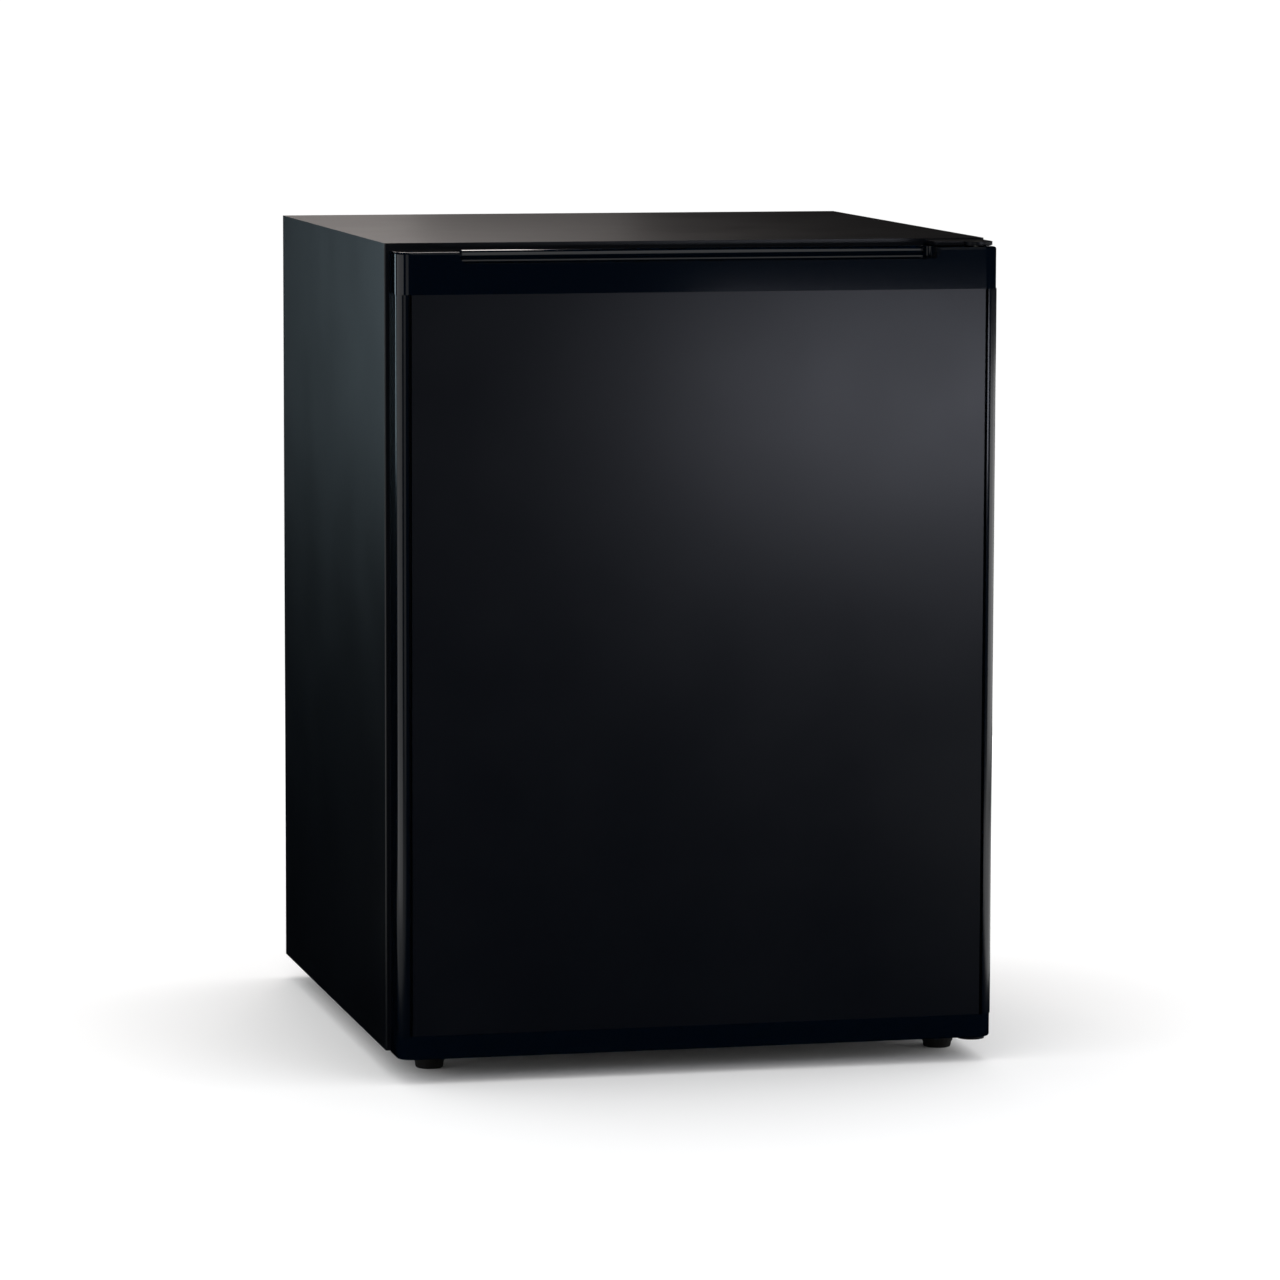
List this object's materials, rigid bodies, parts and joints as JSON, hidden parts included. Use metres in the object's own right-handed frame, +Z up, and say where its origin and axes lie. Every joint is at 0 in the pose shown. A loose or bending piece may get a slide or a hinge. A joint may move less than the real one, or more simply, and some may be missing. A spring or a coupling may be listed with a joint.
{
  "type": "mini fridge",
  "caption": "Compact black absorption mini fridge with a right-hinged door, a finger recess in its top cap, wire shelves, door bins and a cooling unit in an open rear bay.",
  "frame": {"origin": "centre of the bounding box at floor level, under the feet, door closed", "axes": "+Z up, -Y out of the door's front, +X to the right as seen from the front (the hinge side)"},
  "size_m": [0.4, 0.421, 0.541],
  "materials": {
    "black_paint": "satin black powder coat on folded steel",
    "black_cap": "fine-grained black moulded plastic",
    "black_rail": "glossy black extruded plastic",
    "galvanised_steel": "galvanised sheet",
    "zinc_steel": "zinc-plated steel",
    "foam": "rigid polyurethane foam",
    "white_liner": "vacuum-formed white polystyrene",
    "white_wire": "white plastic-coated steel wire",
    "clear_bin": "translucent moulded polystyrene",
    "gasket_vinyl": "soft black vinyl",
    "magnet": "ferrite-filled strip",
    "nylon": "natural nylon",
    "black_foot": "black moulded elastomer",
    "anodised_aluminium": "natural anodised extrusion",
    "white_plastic": "fine-grained white moulding",
    "lens": "frosted lamp lens",
    "board": "glass-fibre circuit board",
    "unit_paint": "matt black baked paint on steel tube",
    "mineral_wool": "mineral wool",
    "heater_steel": "stainless heater sheath",
    "grey_plastic": "grey moulded housing",
    "black_plastic": "black moulded insulator",
    "lead": "silicone-sheathed lead",
    "drain_vinyl": "translucent drain hose"
  },
  "bodies": {
    "cabinet": {"left_side_panel": "black_paint", "right_side_panel": "black_paint", "top_panel": "black_paint", "base_pan": "black_paint", "top_hinge_plate": "black_paint", "bottom_hinge_plate": "black_paint", "back_sheet": "galvanised_steel", "boiler_jacket": "galvanised_steel", "vessel_saddles": "galvanised_steel", "coil_brackets": "galvanised_steel", "top_hinge_pin": "zinc_steel", "bottom_hinge_pin": "zinc_steel", "hinge_screws": "zinc_steel", "foot_nuts": "zinc_steel", "unit_screws": "zinc_steel", "cabinet_foam": "foam", "inner_liner": "white_liner", "rear_feet": "black_foot", "evaporator_block": "anodised_aluminium", "drip_tray": "white_plastic", "control_housing": "white_plastic", "switch_housing": "white_plastic", "evaporation_dish": "white_plastic", "lamp_lens": "lens", "lamp_board": "board", "circuit_board": "board", "boiler_tube": "unit_paint", "condenser_tube": "unit_paint", "condenser_fins": "unit_paint", "evaporator_tube": "unit_paint", "absorber_coil": "unit_paint", "absorber_vessel": "unit_paint", "liquid_tube": "unit_paint", "boiler_insulation": "mineral_wool", "heating_element": "heater_steel", "thermostat_body": "grey_plastic", "electronics_box": "grey_plastic", "electronics_cover": "grey_plastic", "mains_inlet": "black_plastic", "heater_lead": "lead", "drain_tube": "drain_vinyl"},
    "door": {"door_front_panel": "black_paint", "door_rail_left": "black_rail", "door_rail_right": "black_rail", "door_top_cap": "black_cap", "door_bottom_cap": "black_cap", "door_foam": "foam", "door_inner_liner": "white_liner", "door_gasket": "gasket_vinyl", "gasket_magnets": "magnet", "hinge_bushes": "nylon"},
    "lower_bin": {"lower_bin": "clear_bin"},
    "upper_bin": {"upper_bin": "clear_bin"},
    "lower_shelf": {"lower_shelf": "white_wire"},
    "upper_shelf": {"upper_shelf": "white_wire"},
    "thermostat_knob": {"thermostat_knob": "white_plastic"},
    "switch_plunger": {"switch_plunger": "nylon"},
    "front_foot_left": {"front_foot_left": "black_foot"},
    "front_foot_right": {"front_foot_right": "black_foot"}
  },
  "joints": [
    {"name": "door_hinge", "type": "hinge", "parent": "cabinet", "child": "door", "pos_m": [0.189, -0.1935, 0.27], "axis": [0, 0, 1], "range_deg": [0, 120]},
    {"name": "lower_bin_lift", "type": "slide", "parent": "door", "child": "lower_bin", "axis": [0, 0, 1], "range_m": [0, 0.03]},
    {"name": "upper_bin_lift", "type": "slide", "parent": "door", "child": "upper_bin", "axis": [0, 0, 1], "range_m": [0, 0.03]},
    {"name": "lower_shelf_slide", "type": "slide", "parent": "cabinet", "child": "lower_shelf", "axis": [0, -1, 0], "range_m": [0, 0.055]},
    {"name": "upper_shelf_slide", "type": "slide", "parent": "cabinet", "child": "upper_shelf", "axis": [0, -1, 0], "range_m": [0, 0.055]},
    {"name": "thermostat_turn", "type": "hinge", "parent": "cabinet", "child": "thermostat_knob", "pos_m": [0.045, -0.0605, 0.4945], "axis": [0, -1, 0], "range_deg": [-135, 135]},
    {"name": "plunger_travel", "type": "slide", "parent": "cabinet", "child": "switch_plunger", "axis": [0, -1, 0], "range_m": [0, 0.004]},
    {"name": "left_foot_level", "type": "slide", "parent": "cabinet", "child": "front_foot_left", "axis": [0, 0, 1], "range_m": [-0.008, 0]},
    {"name": "right_foot_level", "type": "slide", "parent": "cabinet", "child": "front_foot_right", "axis": [0, 0, 1], "range_m": [-0.008, 0]}
  ],
  "couplings": [
    {"joint": "plunger_travel", "follows": "door_hinge", "m_per_rad": 0.0019}
  ]
}
